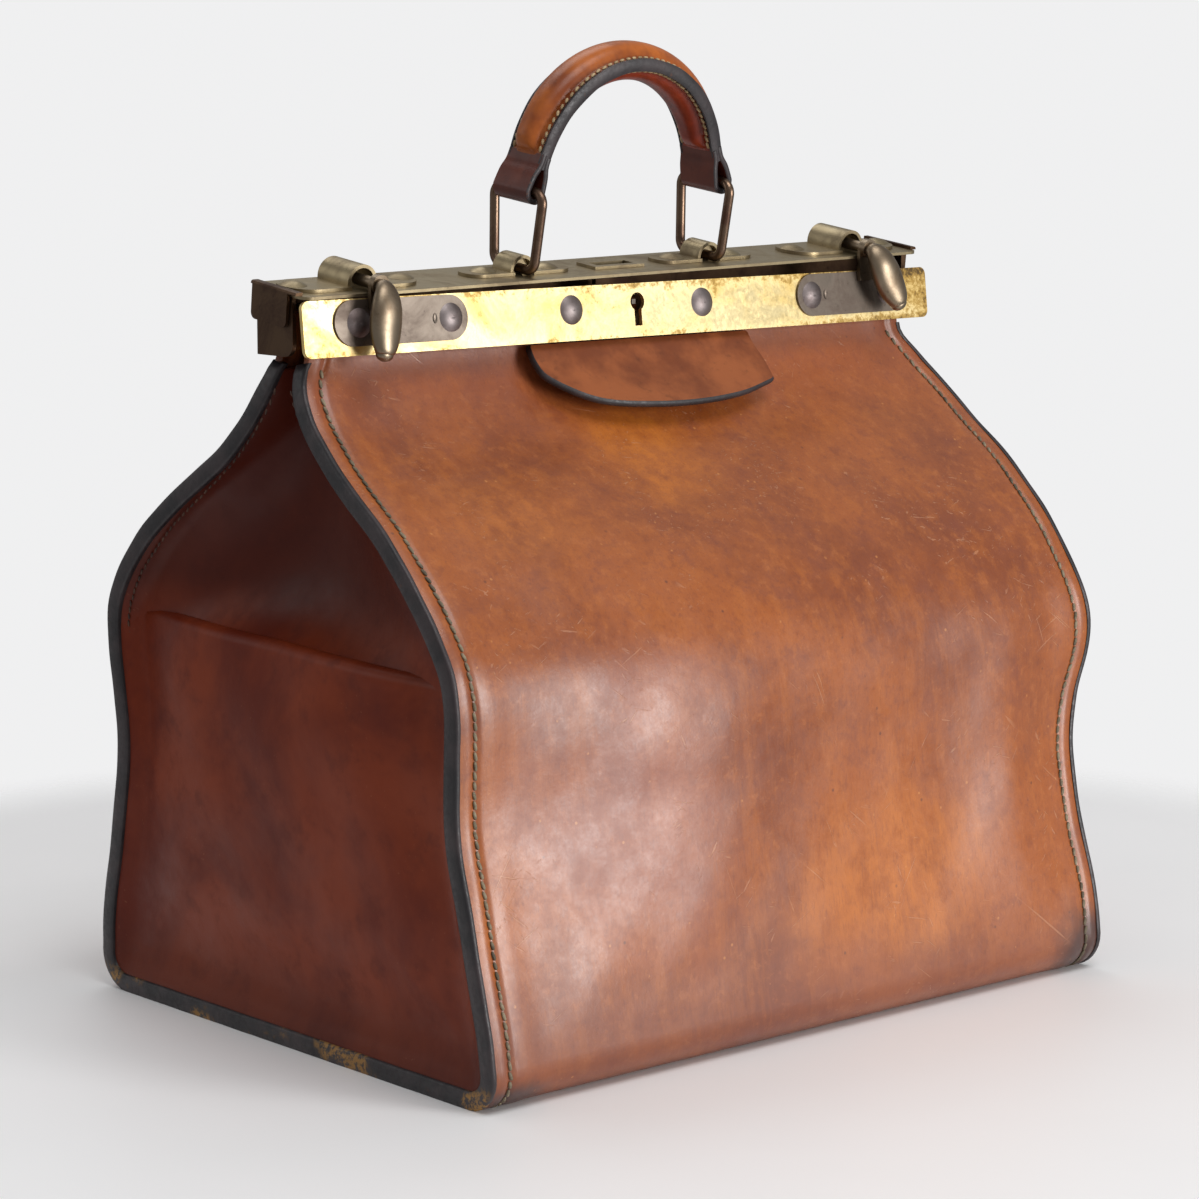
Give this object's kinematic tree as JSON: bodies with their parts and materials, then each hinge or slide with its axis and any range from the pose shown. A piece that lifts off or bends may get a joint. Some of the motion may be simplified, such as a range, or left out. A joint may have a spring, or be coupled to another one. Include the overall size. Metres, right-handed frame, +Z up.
{
  "type": "doctor bag",
  "caption": "Upright leather doctor bag with a hinged steel mouth frame, brass jaws, turn latches, a lock and an arched carrying handle on swinging wire loops.",
  "frame": {"origin": "middle of the base, on the surface the bag stands on", "axes": "X along the mouth, +X to the right of a person facing the front; -Y is the front with the lock; +Z up"},
  "size_m": [0.383, 0.2886, 0.4418],
  "materials": {
    "leather": "worn vegetable-tanned hide",
    "gusset": "dark worn hide",
    "board": "stiffening board",
    "brass": "speckled tarnish",
    "old_brass": "olive-brown patina",
    "steel": "darkened steel",
    "rope": "wound cord"
  },
  "bodies": {
    "body": {"body_leather": "leather", "gusset_lower_left": "gusset", "gusset_lower_right": "gusset", "bottom_board": "board", "gusset_upper_left": "gusset", "gusset_upper_right": "gusset"},
    "front_side": {"front_panel_upper": "leather", "lock_tab": "leather", "face_plate": "brass", "face_rivets": "steel", "latch_plate_left": "steel", "latch_plate_right": "steel", "latch_plate_rivets": "steel", "front_frame": "steel", "packing_strip": "steel", "lock_case": "steel", "lock_pin": "steel", "latch_bracket_left": "old_brass", "latch_bracket_right": "old_brass"},
    "rear_side": {"back_panel_upper": "leather", "rear_frame": "steel", "hinge_pins": "steel", "rear_jaw_shell": "old_brass", "rear_packing_strip": "steel", "back_rivets": "steel", "top_plate": "old_brass", "lock_keeper": "steel", "corner_caps": "old_brass", "handle_saddle_left": "old_brass", "handle_saddle_right": "old_brass", "handle_saddle_rivets": "steel", "latch_saddle_left": "old_brass", "latch_saddle_right": "old_brass", "latch_saddle_rivets": "steel"},
    "lock_bolt": {"lock_bolt": "steel"},
    "latch_left": {"latch_left": "old_brass"},
    "latch_right": {"latch_right": "old_brass"},
    "loop_left": {"handle_loop_left": "steel"},
    "loop_right": {"handle_loop_right": "steel"},
    "handle": {"handle_core": "rope", "handle_leather_upper": "leather", "handle_leather_lower": "leather", "handle_strap_left": "leather", "handle_strap_right": "leather"}
  },
  "joints": [
    {"name": "mouth", "type": "hinge", "parent": "body", "child": "front_side", "pos_m": [0, -0.1254, 0.172], "axis": [1, 0, 0], "range_deg": [0, 35], "deforming": ["gusset_upper_left", "gusset_upper_right"]},
    {"name": "mouth_rear", "type": "hinge", "parent": "body", "child": "rear_side", "pos_m": [0, 0.1254, 0.172], "axis": [1, 0, 0], "range_deg": [-35, 0]},
    {"name": "lock_throw", "type": "slide", "parent": "front_side", "child": "lock_bolt", "axis": [0, 0, 1], "range_m": [0, 0.006]},
    {"name": "latch_left_turn", "type": "hinge", "parent": "front_side", "child": "latch_left", "pos_m": [-0.15105, -0.00018, 0.33865], "axis": [0, 0.9914, 0.1305], "range_deg": [-60, 80]},
    {"name": "latch_right_turn", "type": "hinge", "parent": "front_side", "child": "latch_right", "pos_m": [0.14591, -0.00085, 0.34379], "axis": [0, 0.9914, 0.1305], "range_deg": [-65, 60]},
    {"name": "handle_swing", "type": "hinge", "parent": "rear_side", "child": "loop_left", "pos_m": [-0.05704, -0.00022, 0.33899], "axis": [0, 0.9914, 0.1305], "range_deg": [-60, 60]},
    {"name": "handle_on_loop", "type": "hinge", "parent": "loop_left", "child": "handle", "pos_m": [-0.05766, -0.00484, 0.37408], "axis": [0, 0.9914, 0.1305], "range_deg": [-60, 60]},
    {"name": "loop_right_swing", "type": "hinge", "parent": "rear_side", "child": "loop_right", "pos_m": [0.05694, -0.00048, 0.34096], "axis": [0, 0.9914, 0.1305], "range_deg": [-60, 60]}
  ],
  "couplings": [
    {"joint": "mouth_rear", "follows": "mouth", "ratio": -1},
    {"joint": "handle_on_loop", "follows": "handle_swing", "ratio": -1},
    {"joint": "loop_right_swing", "follows": "handle_swing", "ratio": 1}
  ]
}
